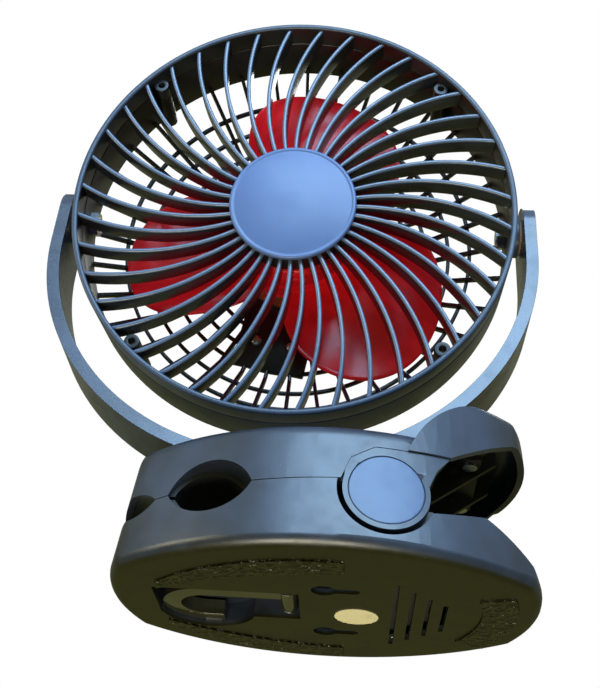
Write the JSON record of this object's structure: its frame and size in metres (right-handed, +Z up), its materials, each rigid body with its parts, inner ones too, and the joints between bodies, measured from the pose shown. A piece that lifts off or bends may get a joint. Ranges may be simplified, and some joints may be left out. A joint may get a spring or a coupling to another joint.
{
  "type": "portable camping fan",
  "caption": "Clip-on camping fan: a caged fan head tilts in a swivelling yoke on a spring clip base with a squeeze handle, hanging hook and anti-slip feet.",
  "frame": {"origin": "on the standing surface under the yoke's swivel axis", "axes": "+Z up; the fan blows towards -Y; the clip opens towards -X and its handle points towards +X"},
  "size_m": [0.203, 0.115, 0.2611],
  "materials": {
    "shell_black": "satin moulded plastic",
    "inner_black": "matte moulded plastic",
    "grille_black": "satin moulded plastic",
    "pad_rubber": "crinkled anti-slip rubber",
    "liner_rubber": "soft rubber",
    "screw_steel": "zinc-plated",
    "spring_steel": "oiled spring wire",
    "hook_black": "polished moulded plastic",
    "rotor_red": "clear red moulded plastic",
    "label_cream": "plain paper label",
    "cell_wrap": "shrink wrap",
    "tray_white": "plain moulded plastic",
    "board_green": "circuit board",
    "light_clear": "clear light guide",
    "winding_copper": "lacquered copper windings on a laminated core",
    "magnet_grey": "moulded magnet",
    "washer_fibre": "fibre washer"
  },
  "bodies": {
    "base": {"base_shell": "shell_black", "base_deck": "inner_black", "lower_jaw_liner": "liner_rubber", "pivot_pin": "screw_steel", "clip_spring": "spring_steel", "battery_tray": "tray_white", "battery_cells": "cell_wrap", "control_board": "board_green", "button_switch": "screw_steel", "charge_port": "screw_steel", "charge_lights": "light_clear", "front_foot_pad": "pad_rubber", "rear_foot_pad": "pad_rubber", "end_foot_pad": "pad_rubber", "round_label": "label_cream", "base_screws": "screw_steel", "hook_pin": "screw_steel"},
    "hook": {"hanging_hook": "hook_black"},
    "button": {"power_button": "shell_black"},
    "jaw": {"upper_jaw_cover": "shell_black", "upper_jaw_frame": "inner_black", "upper_jaw_liner": "liner_rubber", "pivot_caps": "shell_black", "spring_top_leg": "spring_steel", "handle_brace": "inner_black", "handle_screws": "screw_steel", "frame_screws": "screw_steel"},
    "yoke": {"yoke": "shell_black", "swivel_bolt": "screw_steel", "swivel_washer": "screw_steel", "swivel_nut": "screw_steel", "tilt_bolts": "screw_steel", "tilt_washers": "washer_fibre", "tilt_nuts": "screw_steel", "tilt_caps": "shell_black"},
    "head": {"front_grille": "grille_black", "centre_disc": "shell_black", "rear_housing": "grille_black", "back_cap": "inner_black", "housing_screws": "screw_steel", "arm_screws": "screw_steel", "motor_screws": "screw_steel", "motor_stator": "winding_copper", "motor_bearings": "screw_steel", "driver_board": "board_green"},
    "fan": {"fan_rotor": "rotor_red", "rotor_cup": "screw_steel", "magnet_ring": "magnet_grey", "motor_shaft": "screw_steel", "hub_nut": "rotor_red"}
  },
  "joints": [
    {"name": "clip_open", "type": "hinge", "parent": "base", "child": "jaw", "pos_m": [0.041, 0, 0.0218], "axis": [0, 1, 0], "range_deg": [0, 35], "stiffness_Nm_per_rad": 1.6, "springref_deg": -25.78},
    {"name": "hook_fold", "type": "hinge", "parent": "base", "child": "hook", "pos_m": [0.009, 0, 0.0053], "axis": [0, -1, 0], "range_deg": [0, 95]},
    {"name": "power_press", "type": "slide", "parent": "base", "child": "button", "axis": [0, -1, 0], "range_m": [0, 0.0008], "stiffness_N_per_m": 600, "springref_m": -0.001},
    {"name": "yoke_swivel", "type": "hinge", "parent": "jaw", "child": "yoke", "pos_m": [0, 0, 0.0465], "axis": [0, 0, 1], "range_deg": [-170, 170]},
    {"name": "head_tilt", "type": "hinge", "parent": "yoke", "child": "head", "pos_m": [0, 0, 0.1685], "axis": [1, 0, 0], "range_deg": [-100.5, 79.5]},
    {"name": "fan_spin", "type": "hinge", "parent": "head", "child": "fan", "pos_m": [0, 0, 0.1685], "axis": [0, -0.9833, -0.1822], "continuous": true}
  ]
}
